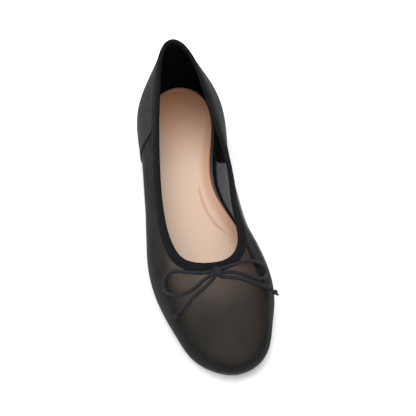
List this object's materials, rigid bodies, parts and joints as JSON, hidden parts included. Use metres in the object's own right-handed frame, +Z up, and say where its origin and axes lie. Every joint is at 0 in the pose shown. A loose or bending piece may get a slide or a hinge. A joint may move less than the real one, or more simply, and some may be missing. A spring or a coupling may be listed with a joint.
{
  "type": "flat shoe",
  "caption": "Round-toed ballet flat for the right foot: sheer mesh upper, bound topline, thin cord bow, padded insole, thin sole and low heel.",
  "frame": {"origin": "under the middle of the shoe's outer box, on the ground", "axes": "+Z up, +Y from toe to heel, +X to the inner side, where the big toe is"},
  "size_m": [0.0801, 0.2426, 0.0673],
  "materials": {
    "upper_mesh": "sheer matt mesh",
    "binding_tape": "matt woven tape",
    "panel_cloth": "matt dense cloth",
    "bow_cord": "round woven cord",
    "sock_lining": "smooth satin",
    "insole_cover": "matt",
    "sole_rubber": "matt",
    "heel_rubber": "matt"
  },
  "bodies": {
    "root": {"upper": "upper_mesh", "binding": "binding_tape", "back_panel": "panel_cloth", "outsole": "sole_rubber", "heel": "heel_rubber", "insole_base": "insole_cover", "insole_sock": "sock_lining", "bow_knot": "bow_cord", "bow_loop_outer": "bow_cord", "bow_loop_inner": "bow_cord", "bow_tail_outer": "bow_cord", "bow_tail_inner": "bow_cord", "tail_knot_outer": "bow_cord", "tail_knot_inner": "bow_cord"}
  },
  "joints": []
}
